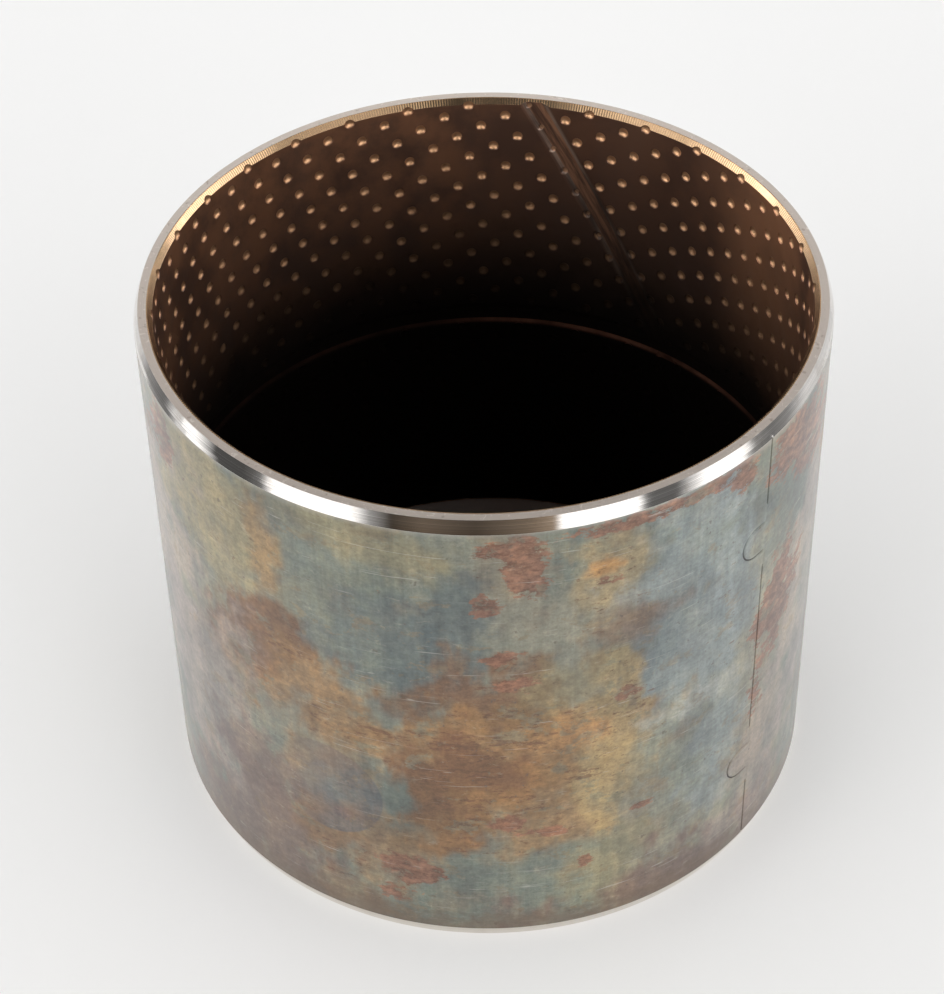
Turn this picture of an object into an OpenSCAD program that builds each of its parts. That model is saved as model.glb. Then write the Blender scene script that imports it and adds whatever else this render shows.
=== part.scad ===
// Wrapped steel-backed bronze sleeve bushing.
// A two-layer strip is rolled round into a tube and locked by two tabs
// along its butt seam. The axis is +Z and the origin is the centre of
// the lower end face.

/* [Sleeve] */
// Bore diameter, where the shaft runs
bore_d = 85; // [70:1:100]
// Length along the axis
sleeve_len = 76.5; // [60:0.5:100]
// Thickness of the steel backing
backing_t = 1.75; // [1.5:0.05:2.25]
// Thickness of the sintered bronze lining
lining_t = 0.75; // [0.7:0.05:1]

/* [End chamfers] */
// Height of the outside lead-in chamfer
lead_in_h = 1.8; // [1.2:0.1:2.4]
// Angle of the outside lead-in chamfer to the axis
lead_in_angle = 20; // [15:1:25]
// Height of the chamfer at the mouth of the bore
mouth_h = 0.75; // [0.5:0.05:1]
// Radial width of the chamfer at the mouth of the bore
mouth_w = 0.6; // [0.4:0.05:0.65]

/* [Butt seam] */
// Angle round the axis where the strip's ends meet
seam_angle = -39.5; // [-180:0.5:180]
// Width of the gap left between the strip's ends
seam_gap = 0.12; // [0.1:0.01:0.3]
// Distance from each end face to the middle of a locking tab
tab_inset = 17.9; // [10:0.1:24]
// Width of a locking tab, measured along the axis
tab_w = 4.8; // [4:0.1:6]
// Reach of a locking tab past the seam
tab_reach = 4.4; // [3.5:0.1:6]

/* [Oil grooves] */
// Depth of both oil grooves
groove_depth = 0.34; // [0.25:0.01:0.4]
// Width of a groove at the bore surface
groove_w = 3.9; // [3:0.1:5]
// Width of a groove at its floor
groove_floor_w = 1.9; // [1:0.1:2.5]
// Lean of the diagonal groove from the axis
groove_lean = 28.5; // [10:0.5:35]
// Angle from the seam to the diagonal groove at the upper end
groove_start = 119.5; // [90:0.5:200]

/* [Hidden] */

bore_r = bore_d / 2;
bond_r = bore_r + lining_t;
outer_r = bond_r + backing_t;
lead_in_w = lead_in_h * tan(lead_in_angle);
mid_z = sleeve_len / 2;
tab_r = tab_w / 2;

// The lead-in is turned in two cuts: a wide one next to the end face,
// then a narrow, shallower one that runs out into the wall.
second_cut_h = 0.36 * lead_in_h;
second_cut_w = 0.28 * lead_in_w;

// The diagonal groove is cut as short straight strokes round the bore.
strokes = 16;
stroke_h = sleeve_len / strokes;
turn_per_mm = tan(groove_lean) / bore_r * 180 / PI;
cut_past = 1;

// Steel backing before the seam is cut: a tube with both lead-in cuts at
// each end.
module backing_tube() {
    rotate_extrude($fn = 180)
        polygon([
            [bond_r, 0],
            [outer_r - lead_in_w, 0],
            [outer_r - second_cut_w, lead_in_h - second_cut_h],
            [outer_r, lead_in_h],
            [outer_r, sleeve_len - lead_in_h],
            [outer_r - second_cut_w, sleeve_len - lead_in_h + second_cut_h],
            [outer_r - lead_in_w, sleeve_len],
            [bond_r, sleeve_len]
        ]);
}

// Bronze lining before anything is cut in it: a thin tube with a chamfer
// at each mouth of the bore.
module lining_tube() {
    rotate_extrude($fn = 180)
        polygon([
            [bore_r + mouth_w, 0],
            [bond_r, 0],
            [bond_r, sleeve_len],
            [bore_r + mouth_w, sleeve_len],
            [bore_r, sleeve_len - mouth_h],
            [bore_r, mouth_h]
        ]);
}

// Outline of a locking tab, grown or shrunk by "grow": a round head on a
// straight neck that starts at the seam.
module tab_outline(grow) {
    translate([tab_r - tab_reach, 0])
        circle(r = tab_r + grow, $fn = 48);
    translate([tab_r - tab_reach, -tab_r - grow])
        square([tab_reach - tab_r + seam_gap / 2, tab_w + 2 * grow]);
}

// The seam's gap as a flat shape: straight runs that turn aside round
// each tab. The round head stops at the seam, where the tab grows out of
// the strip.
module seam_outline() {
    intersection() {
        translate([-2 * tab_reach, -cut_past])
            square([2 * tab_reach + seam_gap / 2, sleeve_len + 2 * cut_past]);
        difference() {
            union() {
                translate([-seam_gap / 2, -cut_past])
                    square([seam_gap, sleeve_len + 2 * cut_past]);
                for (z = [tab_inset, sleeve_len - tab_inset])
                    translate([0, z]) tab_outline(seam_gap / 2);
            }
            for (z = [tab_inset, sleeve_len - tab_inset])
                translate([0, z]) tab_outline(-seam_gap / 2);
        }
    }
}

// Cutter for the seam, standing along the radius through the seam.
module seam_cutter() {
    rotate([0, 0, seam_angle])
        rotate([90, 0, 90])
            translate([0, 0, bore_r - 2 * cut_past])
                linear_extrude(height = lining_t + backing_t + 4 * cut_past)
                    seam_outline();
}

// Section of an oil groove, with the radius along X: a flat floor and
// sloping flanks, carried on inside the bore so that it cuts clear.
module groove_section() {
    flank = (groove_w - groove_floor_w) / 2 / groove_depth;
    clear_w = groove_w / 2 + flank * cut_past;
    polygon([
        [bore_r - cut_past, -clear_w],
        [bore_r + groove_depth, -groove_floor_w / 2],
        [bore_r + groove_depth, groove_floor_w / 2],
        [bore_r - cut_past, clear_w]
    ]);
}

// Oil groove that runs right round the bore at half length.
module ring_groove_cutter() {
    rotate_extrude($fn = 180)
        translate([0, mid_z]) groove_section();
}

// Oil groove that crosses the bore from end to end on a slant.
module diagonal_groove_cutter() {
    stroke_len = (stroke_h + cut_past / 2) / cos(groove_lean);
    for (i = [-1 : strokes]) {
        z = (i + 0.5) * stroke_h;
        turn = seam_angle + groove_start - (sleeve_len - z) * turn_per_mm;
        translate([0, 0, z])
            rotate([0, 0, turn])
                rotate([-groove_lean, 0, 0])
                    linear_extrude(height = stroke_len, center = true)
                        groove_section();
    }
}

// Steel backing strip: plated outside, with the two tabs at its seam.
module steel_backing() {
    color("#7d8078")
        difference() {
            backing_tube();
            seam_cutter();
        }
}

// Bronze lining bonded inside the backing, with its oil grooves.
module bronze_lining() {
    color("#9a6b3f")
        difference() {
            lining_tube();
            ring_groove_cutter();
            diagonal_groove_cutter();
            seam_cutter();
        }
}

steel_backing();
bronze_lining();
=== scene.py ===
"""Wrapped bimetal sleeve bushing: its look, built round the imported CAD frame."""
import math

import bpy
import numpy as np
from mathutils import Matrix, Vector, noise
from mathutils.geometry import delaunay_2d_cdt


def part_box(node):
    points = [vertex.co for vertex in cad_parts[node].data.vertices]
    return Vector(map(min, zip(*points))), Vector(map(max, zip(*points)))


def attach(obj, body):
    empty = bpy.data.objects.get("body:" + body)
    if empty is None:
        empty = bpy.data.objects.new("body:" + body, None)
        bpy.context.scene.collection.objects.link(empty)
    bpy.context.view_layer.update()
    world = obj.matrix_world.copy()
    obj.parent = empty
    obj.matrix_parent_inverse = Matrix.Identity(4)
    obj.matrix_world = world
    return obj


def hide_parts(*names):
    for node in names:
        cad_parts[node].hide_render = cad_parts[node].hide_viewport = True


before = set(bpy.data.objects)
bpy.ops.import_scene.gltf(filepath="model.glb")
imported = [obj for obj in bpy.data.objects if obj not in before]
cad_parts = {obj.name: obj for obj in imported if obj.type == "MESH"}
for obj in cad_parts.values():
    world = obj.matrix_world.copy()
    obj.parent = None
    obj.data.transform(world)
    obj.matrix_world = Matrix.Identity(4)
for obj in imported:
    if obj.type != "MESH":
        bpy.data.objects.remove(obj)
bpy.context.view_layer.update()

MM = 0.001
TURN = 2 * math.pi

# ---- Sizes in millimetres, the same as the CAD's ----
BORE_R = 42.5
BOND_R = 43.25
OUTER_R = 45.0
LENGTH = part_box("steel_backing")[1].z / MM
LEAD_IN_H = 1.8
LEAD_IN_W = LEAD_IN_H * math.tan(math.radians(20))
SECOND_CUT_H = 0.36 * LEAD_IN_H
SECOND_CUT_W = 0.28 * LEAD_IN_W
MOUTH_H = 0.75
MOUTH_W = 0.6
SEAM_ANGLE = math.radians(-39.5)
TAB_INSET = 17.9
TAB_R = 2.4
TAB_REACH = 4.4
GROOVE_DEPTH = 0.34
GROOVE_W = 3.9
GROOVE_FLOOR_W = 1.9
GROOVE_LEAN = math.radians(28.5)
GROOVE_START = math.radians(80)

# ---- The stamped pattern of oil pockets ----
PATTERN_COLUMNS = 5     # columns from one pocket of a row to the next
ROW_SHIFT = 2           # columns by which each row is moved on
PATTERN_REPEATS = 31    # pockets in one row, round the bore
COLUMNS = PATTERN_COLUMNS * PATTERN_REPEATS
COLUMN_TURN = TURN / COLUMNS
ROW_GAP = COLUMN_TURN * BORE_R
FIRST_ROW = 0.85        # upper end face to the first row
LAST_ROW = 0.5          # least room from the last row to the lower end face
ROWS = int((LENGTH - FIRST_ROW - LAST_ROW) / ROW_GAP) + 1
POCKET_BALL_R = 1.0
POCKET_DEPTH = 0.42
POCKET_R = math.sqrt(POCKET_BALL_R ** 2 - (POCKET_BALL_R - POCKET_DEPTH) ** 2)
PATTERN_START = math.radians(127)
# The strip is unrolled from a line that no pocket crosses, just past the seam.
CUT_COLUMNS = 70.5      # columns from the pattern's start back to that line
CUT_ANGLE = PATTERN_START - CUT_COLUMNS * COLUMN_TURN

# ---- Fineness of the meshes, in millimetres or counts ----
TOUCHING = 1e-6         # points this close are one
ON_EDGE = 1e-4          # a point this close to an edge is on it
FAR = 99.0              # a distance that stands for "well away"
SEAM_MARGIN = 2.0       # how far past the tabs the seam's distance is worked out
TAB_FACETS = 24
SEAM_CLEAR = 0.16       # pocket points stay this far from the seam
LINE_SEAM_CLEAR = 0.2   # and points on edges this far
WALL_SEAM_CLEAR = 0.22  # and points on the outer wall this far
END_CLEAR = 0.02
SEAM_END_CLEAR = 0.05
POCKET_CLEAR = 0.07     # points on edges stay this far outside a pocket
BURIED = 0.05           # unless the groove is deeper than the pocket by this
EDGE_STEP = 0.45        # along the edges of the grooves and chamfers
POCKET_RINGS = ((1.0, 20), (0.8, 16), (0.45, 9))  # share of the rim's radius, points
HALVINGS = 26           # steps in the search for a pocket's rim
RIM_POINTS = 4          # points on the bore's end rims in each pocket column
WALL_COLUMNS = 720
WALL_ROW_GAP = 0.82
FIRST_WALL_ROW = 2.4
LAST_ZONES = 100        # zones of the end rings and the plain far face


# ---- Mesh building: detailed faces wrapped round the axis ----
def girth(radius):
    return TURN * radius


def strip_x(angle, radius):
    """Distance round the strip, from its cut line, of an angle in the row frame."""
    return ((angle - CUT_ANGLE) % TURN) * radius


def end_depth(z):
    """Depth below the nearer end face."""
    return np.minimum(z, LENGTH - z)


def tab_paths(radius):
    """The seam as one line up the unrolled strip, turning aside round each tab."""
    x = strip_x(SEAM_ANGLE, radius)
    line = []
    for middle in (TAB_INSET, LENGTH - TAB_INSET):
        centre = x - (TAB_REACH - TAB_R)
        line.append((x, middle - TAB_R))
        line.append((centre, middle - TAB_R))
        for step in range(1, TAB_FACETS):
            a = -math.pi / 2 - math.pi * step / TAB_FACETS
            line.append((centre + TAB_R * math.cos(a), middle + TAB_R * math.sin(a)))
        line.append((centre, middle + TAB_R))
        line.append((x, middle + TAB_R))
    return np.array([(x, 0.0)] + line + [(x, LENGTH)])


def walk(line, step):
    """Points at even steps along a line, with the unit direction at each."""
    ends = line[1:] - line[:-1]
    spans = np.hypot(ends[:, 0], ends[:, 1])
    reach = np.concatenate([[0], np.cumsum(spans)])
    count = int(reach[-1] / step)
    at = (np.arange(count) + 0.5) * reach[-1] / count
    i = np.clip(np.searchsorted(reach, at) - 1, 0, len(spans) - 1)
    t = ((at - reach[i]) / spans[i])[:, None]
    return line[i] + ends[i] * t, ends[i] / spans[i][:, None]


def distance_to(line, x, z):
    """Distance of each point to a line of straight runs; FAR for points well away."""
    out = np.full(len(x), FAR)
    reach = np.abs(x - line[:, 0].max() + TAB_REACH / 2)
    near = np.where(reach < TAB_REACH + SEAM_MARGIN)[0]
    px, pz = x[near], z[near]
    best = np.full(len(near), FAR)
    for a, b in zip(line[:-1], line[1:]):
        d = b - a
        t = np.clip(((px - a[0]) * d[0] + (pz - a[1]) * d[1]) / (d @ d), 0, 1)
        best = np.minimum(best, np.hypot(px - a[0] - t * d[0], pz - a[1] - t * d[1]))
    out[near] = best
    return out


def triangulate(inner, width, columns, side_z):
    """Points, triangles and their middles over the unrolled strip.

    The strip's two cut sides are joined into one row of points.
    """
    across = np.linspace(0, width, columns + 1)
    rim = [(x, z) for z in (0.0, LENGTH) for x in across]
    sides = [(x, z) for z in side_z for x in (0.0, width)]
    every = np.vstack([inner, rim, sides])
    made = delaunay_2d_cdt([Vector(p) for p in every.tolist()], [], [], 0, TOUCHING)
    flat = np.array([(v.x, v.y) for v in made[0]])
    tris = np.array(made[2])
    start = {round(z, 3): i for i, (x, z) in enumerate(flat.tolist()) if x < ON_EDGE}
    target = np.arange(len(flat))
    for i in np.where(flat[:, 0] > width - ON_EDGE)[0]:
        target[i] = start[round(flat[i, 1], 3)]
    keep = np.unique(target)
    renumber = np.full(len(flat), -1)
    renumber[keep] = np.arange(len(keep))
    return flat[keep], renumber[target[tris]], flat[tris].mean(axis=1)


def add_object(name, verts, faces):
    """A new object in the scene, from points in metres."""
    mesh = bpy.data.meshes.new(name)
    mesh.from_pydata(verts, [], faces)
    mesh.update()
    made = bpy.data.objects.new(name, mesh)
    bpy.context.scene.collection.objects.link(made)
    return made


def crease(mesh, zones):
    """Creases wherever two zones of faces meet; the rest is shaded smooth."""
    loops = np.empty(len(mesh.loops), dtype=np.int32)
    mesh.loops.foreach_get("edge_index", loops)
    sizes = np.empty(len(mesh.polygons), dtype=np.int32)
    mesh.polygons.foreach_get("loop_total", sizes)
    loop_zone = np.repeat(zones, sizes)
    highest = np.full(len(mesh.edges), zones.min() - 1)
    lowest = np.full(len(mesh.edges), zones.max() + 1)
    np.maximum.at(highest, loops, loop_zone)
    np.minimum.at(lowest, loops, loop_zone)
    mesh.shade_smooth()
    sharp = mesh.attributes.new("sharp_edge", "BOOLEAN", "EDGE")
    sharp.data.foreach_set("value", highest != lowest)
    mesh.update()


def wrapped_shell(name, inner, radius, columns, side_z, surface, zone, far_r):
    """One closed shell: the detailed face, two flat end rings and a plain far face."""
    flat, tris, middles = triangulate(inner, girth(radius), columns, side_z)
    outward = far_r < radius
    angle = CUT_ANGLE + flat[:, 0] / radius
    r = surface(flat[:, 0], flat[:, 1])
    verts = np.stack([r * np.cos(angle), r * np.sin(angle), flat[:, 1]], axis=1)

    def rim(z):
        row = np.where(np.abs(flat[:, 1] - z) < ON_EDGE)[0]
        return row[np.argsort(flat[row, 0])]

    low, high = rim(0.0), rim(LENGTH)
    n = len(low)
    far = [(far_r * math.cos(a), far_r * math.sin(a), z)
           for z, row in ((0.0, low), (LENGTH, high)) for a in angle[row]]
    far_low = np.arange(n) + len(verts)
    far_high = far_low + n
    verts = np.vstack([verts, far])

    def band(a, b):
        return np.stack([a, np.roll(a, -1), np.roll(b, -1), b], axis=1)

    quads = [band(far_low, low), band(high, far_high), band(far_high, far_low)]
    if not outward:
        tris = tris[:, ::-1]
        quads = [q[:, ::-1] for q in quads]
    zones = np.concatenate([zone(middles[:, 0], middles[:, 1])] +
                           [np.full(n, LAST_ZONES + k) for k in range(len(quads))])
    faces = tris.tolist() + [q for block in quads for q in block.tolist()]
    piece = add_object(name, (verts * MM).tolist(), faces)
    crease(piece.data, zones)
    return piece


# ---- Bronze lining: mouth chamfers, grooves, pockets and the seam ----
def mouth(z):
    return MOUTH_W * np.clip(1 - end_depth(z) / MOUTH_H, 0, 1)


def section(off):
    """Depth of an oil groove at an offset from its centre line."""
    flank = (GROOVE_W - GROOVE_FLOOR_W) / 2
    return GROOVE_DEPTH * np.clip((GROOVE_W / 2 - np.abs(off)) / flank, 0, 1)


def diagonal_x(z):
    return strip_x(GROOVE_START, BORE_R) - (LENGTH - z) * math.tan(GROOVE_LEAN)


def diagonal_off(x, z):
    return (x - diagonal_x(z)) * math.cos(GROOVE_LEAN)


def ring_off(z):
    return z - LENGTH / 2


def cut_depth(x, z):
    """Depth of the mouth chamfers and both grooves below the bore's surface."""
    return np.maximum.reduce([mouth(z), section(diagonal_off(x, z)), section(ring_off(z))])


def pocket_offset(x, z):
    """Distance to the nearest pocket's centre."""
    best = np.full(np.shape(x), FAR)
    column = x / ROW_GAP - 0.5
    nearest_row = np.round((LENGTH - z - FIRST_ROW) / ROW_GAP)
    for row in (nearest_row - 1, nearest_row, nearest_row + 1):
        row = np.clip(row, 0, ROWS - 1)
        shift = ROW_SHIFT * row
        near = PATTERN_COLUMNS * np.round((column - shift) / PATTERN_COLUMNS) + shift
        dx = (column - near) * ROW_GAP
        dz = LENGTH - z - FIRST_ROW - row * ROW_GAP
        best = np.minimum(best, np.hypot(dx, dz))
    return best


def ball_depth(off):
    """Depth of a pocket at a distance from its centre; negative past its rim."""
    return np.sqrt(np.maximum(POCKET_BALL_R ** 2 - off ** 2, 0)) - POCKET_BALL_R + POCKET_DEPTH


def pocket_depth(x, z):
    off = pocket_offset(x, z)
    return np.where(off < POCKET_R, ball_depth(off), 0)


SEAM_IN_W = 0.1
SEAM_IN_DEPTH = 0.16
SEAM_WEIGHT = 4         # lets the shallow seam win over the pockets it crosses
LEAST_SKIN = 0.08       # bronze left between the deepest cut and the steel
MOUTH_CUT, SLANT_CUT, RING_CUT = 1, 2, 3
inner_seam = tab_paths(BORE_R)


def inner_seam_depth(x, z):
    return SEAM_IN_DEPTH * np.clip(1 - distance_to(inner_seam, x, z) / SEAM_IN_W, 0, 1)


def lining_surface(x, z):
    carved = np.maximum(cut_depth(x, z), pocket_depth(x, z))
    return BORE_R + np.minimum(carved + inner_seam_depth(x, z), BOND_R - BORE_R - LEAST_SKIN)


def groove_zone(off, first):
    """Zones of a groove: its floor, then its upper and lower flanks."""
    flank = np.where(off > 0, first + 1, first + 2)
    return np.where(np.abs(off) < GROOVE_FLOOR_W / 2, first, flank)


def lining_zone(x, z):
    """Zone of each face: ten for every kind of cut, so that its sides differ too."""
    cuts = np.stack([np.full(len(x), TOUCHING), mouth(z), section(diagonal_off(x, z)),
                     section(ring_off(z)), pocket_depth(x, z),
                     inner_seam_depth(x, z) * SEAM_WEIGHT])
    deepest = cuts.argmax(axis=0)
    out = deepest * 10
    out = np.where(deepest == MOUTH_CUT, 10 * MOUTH_CUT + (z > LENGTH / 2), out)
    out = np.where(deepest == SLANT_CUT, groove_zone(diagonal_off(x, z), 10 * SLANT_CUT), out)
    return np.where(deepest == RING_CUT, groove_zone(ring_off(z), 10 * RING_CUT), out)


def pocket_points():
    """Rings of points down each pocket, from where it meets the surface round it."""
    row, repeat = np.meshgrid(np.arange(ROWS), np.arange(PATTERN_REPEATS), indexing="ij")
    column = (PATTERN_COLUMNS * repeat + ROW_SHIFT * row) % COLUMNS
    x0 = ((column + 0.5) * ROW_GAP).ravel()
    z0 = (LENGTH - FIRST_ROW - row * ROW_GAP).ravel()
    points = [np.stack([x0, z0], axis=1)]
    for share, count in POCKET_RINGS:
        a = (np.arange(count) + 0.5) * TURN / count
        near = np.zeros((len(x0), count))
        away = np.full((len(x0), count), POCKET_R)
        for _ in range(HALVINGS):
            mid = (near + away) / 2
            x = x0[:, None] + mid * np.cos(a)
            z = z0[:, None] + mid * np.sin(a)
            inside = ball_depth(mid) > cut_depth(x, z)
            near = np.where(inside, mid, near)
            away = np.where(inside, away, mid)
        rim = near * share
        x = x0[:, None] + rim * np.cos(a)
        z = z0[:, None] + rim * np.sin(a)
        points.append(np.stack([x.ravel(), z.ravel()], axis=1))
    points = np.vstack(points)
    x, z = points[:, 0], points[:, 1]
    clear = distance_to(inner_seam, x, z) > SEAM_CLEAR
    return points[clear & (z > END_CLEAR) & (z < LENGTH - END_CLEAR)]


def lining_lines():
    """Points along the edges of the grooves and chamfers, away from the pockets."""
    width = girth(BORE_R)
    count = int(width / EDGE_STEP)
    round_x = (np.arange(count) + 0.5) * width / count
    up = np.arange(0.2, LENGTH, EDGE_STEP * math.cos(GROOVE_LEAN))
    points = []
    for off in (-GROOVE_W / 2, -GROOVE_FLOOR_W / 2, GROOVE_FLOOR_W / 2, GROOVE_W / 2):
        own = float(section(np.array(off)))
        leant = np.stack([diagonal_x(up) + off / math.cos(GROOVE_LEAN), up], axis=1)
        other = np.maximum(mouth(up), section(ring_off(up)))
        points.append(leant[other <= own + TOUCHING])
        level = np.stack([round_x, np.full(count, LENGTH / 2 + off)], axis=1)
        other = section(diagonal_off(level[:, 0], level[:, 1]))
        points.append(level[other <= own + TOUCHING])

    # Where the slanted groove runs out into the mouth chamfers.
    for off in np.linspace(-GROOVE_W / 2, GROOVE_W / 2, 15):
        depth = (MOUTH_W - float(section(np.array(off)))) * MOUTH_H / MOUTH_W
        for z in (depth, LENGTH - depth):
            points.append([(diagonal_x(z) + off / math.cos(GROOVE_LEAN), z)])
    for z in (MOUTH_H, LENGTH - MOUTH_H):
        level = np.stack([round_x, np.full(count, z)], axis=1)
        off = diagonal_off(level[:, 0], level[:, 1])
        points.append(level[np.abs(off) > GROOVE_W / 2 + 0.1])

    # The corners where the two grooves cross.
    corner = []
    for u in (-1, 1):
        for v in (-1, 1):
            for half in np.linspace(GROOVE_FLOOR_W / 2, GROOVE_W / 2, 5):
                z = LENGTH / 2 + v * half
                corner.append((diagonal_x(z) + u * half / math.cos(GROOVE_LEAN), z))
    points.append(corner)
    points = np.vstack(points)
    x, z = points[:, 0], points[:, 1]
    off = pocket_offset(x, z)
    clear = (off > POCKET_R + POCKET_CLEAR) | (ball_depth(off) < cut_depth(x, z) - BURIED)
    return points[clear & (distance_to(inner_seam, x, z) > LINE_SEAM_CLEAR)]


def seam_points(line, offsets, step):
    """Points along a seam and to each side of it."""
    middle, way = walk(line, step)
    side = np.stack([-way[:, 1], way[:, 0]], axis=1)
    points = np.vstack([middle + side * off for off in offsets])
    z = points[:, 1]
    return points[(z > SEAM_END_CLEAR) & (z < LENGTH - SEAM_END_CLEAR)]


lining_points = np.vstack([pocket_points(), lining_lines(),
                           seam_points(inner_seam, (-SEAM_IN_W, 0, SEAM_IN_W), 0.4)])
lining = wrapped_shell("lining_shell", lining_points, BORE_R, COLUMNS * RIM_POINTS,
                       np.arange(MOUTH_H, LENGTH - 0.5, 0.9), lining_surface, lining_zone,
                       BOND_R)


# ---- Steel backing: lead-in chamfers, and the clinched seam ----
SEAM_OUT_W = 0.15
SEAM_OUT_DEPTH = 0.32
LIP_H = 0.05            # metal raised by the clinching, just inside a tab's outline
LIP_INSET = 0.42
LIP_SPREAD = 0.26
TAB_CENTRE = TAB_REACH - TAB_R  # seam to the centre of a tab's round head
LIP_INSETS = (0.3, 0.45, 0.62, 0.85)
TAB_MIDDLES = (TAB_INSET, LENGTH - TAB_INSET)
outer_seam = tab_paths(OUTER_R)
seam_x = strip_x(SEAM_ANGLE, OUTER_R)


def lead_in(z):
    return np.interp(end_depth(z), [0, LEAD_IN_H - SECOND_CUT_H, LEAD_IN_H],
                     [LEAD_IN_W, SECOND_CUT_W, 0])


def step_up(v, start, end):
    t = np.clip((v - start) / (end - start), 0, 1)
    return t * t * (3 - 2 * t)


def seam_openness(x, z):
    """How far the seam stands open: shut at the end faces and beside each tab."""
    open_share = step_up(end_depth(z), 1.3, 2.0)
    for middle in TAB_MIDDLES:
        up = z - middle
        along = seam_x - x
        pressed = 1 - step_up(np.abs(up), 5.0, 5.8)
        # Round a tab's head the line is plainest on its lower side.
        turned = ((along - TAB_CENTRE) - up) / (math.sqrt(2) * TAB_R)
        head = 0.4 + 0.6 * step_up(turned, -0.35, 0.75)
        on_tab = (along > 0.3) & (np.abs(up) < TAB_R + 0.4)
        open_share = np.where(on_tab, head, open_share * (1 - pressed * 0.9))
    return open_share


def in_tab(x, z):
    """Distance inside the outline of a tab; negative outside."""
    best = np.full(len(x), -FAR)
    for middle in TAB_MIDDLES:
        along = seam_x - x - TAB_CENTRE
        round_end = TAB_R - np.hypot(np.maximum(along, 0), z - middle)
        best = np.maximum(best, np.where(along > -TAB_CENTRE, round_end, -FAR))
    return best


def backing_surface(x, z):
    gap = np.clip(1 - distance_to(outer_seam, x, z) / SEAM_OUT_W, 0, 1)
    inside = in_tab(x, z)
    lip = LIP_H * np.exp(-((inside - LIP_INSET) / LIP_SPREAD) ** 2) * (inside > 0.05)
    return OUTER_R - lead_in(z) - SEAM_OUT_DEPTH * gap * seam_openness(x, z) + lip


def backing_zone(x, z):
    """Zone of each face: wall, the two cuts of each chamfer, or the seam."""
    depth = end_depth(z)
    out = np.where(depth < LEAD_IN_H - SECOND_CUT_H, 10, np.where(depth < LEAD_IN_H, 20, 0))
    out = out + (z > LENGTH / 2)
    seam = (distance_to(outer_seam, x, z) < SEAM_OUT_W) & (seam_openness(x, z) > 0.2)
    return np.where(seam, 40, out)


wall_rows = np.arange(3.1, LENGTH - 2.9, WALL_ROW_GAP)


def backing_points():
    """Points over the outer wall, its chamfers, the seam and the tabs' raised lips."""
    width = girth(OUTER_R)
    fine = np.arange(WALL_COLUMNS) * width / WALL_COLUMNS
    offset = width / WALL_COLUMNS / 2
    rows = [(fine, z) for d in (LEAD_IN_H - SECOND_CUT_H, LEAD_IN_H) for z in (d, LENGTH - d)]
    rows += [(fine + offset, z) for z in (FIRST_WALL_ROW, LENGTH - FIRST_WALL_ROW)]
    rows += [(fine + offset * (k % 2), z) for k, z in enumerate(wall_rows)]
    points = np.vstack([np.stack([xs, np.full(len(xs), z)], axis=1) for xs, z in rows])
    points = points[(points[:, 0] > 0.2) & (points[:, 0] < width - 0.2)]
    x, z = points[:, 0], points[:, 1]
    inside = in_tab(x, z)
    off_lip = (inside < 0) | (inside > 0.9)
    points = points[(distance_to(outer_seam, x, z) > WALL_SEAM_CLEAR) & off_lip]
    seam = seam_points(outer_seam, (-SEAM_OUT_W, 0, SEAM_OUT_W), 0.33)
    lips = []
    for middle in TAB_MIDDLES:
        for inset in LIP_INSETS:
            r = TAB_R - inset
            for a in np.linspace(-math.pi / 2, math.pi / 2, 26):
                lips.append((seam_x - TAB_CENTRE - r * math.cos(a), middle + r * math.sin(a)))
            for along in np.arange(0.35, TAB_CENTRE, 0.3):
                for side in (-1, 1):
                    lips.append((seam_x - along, middle + side * r))
    return np.vstack([points, seam, lips])


low_rows = (LEAD_IN_H - SECOND_CUT_H, LEAD_IN_H, FIRST_WALL_ROW)
side_rows = [*low_rows, *wall_rows, *(LENGTH - d for d in reversed(low_rows))]
backing = wrapped_shell("backing_shell", backing_points(), OUTER_R, WALL_COLUMNS,
                        side_rows, backing_surface, backing_zone, BOND_R)

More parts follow.
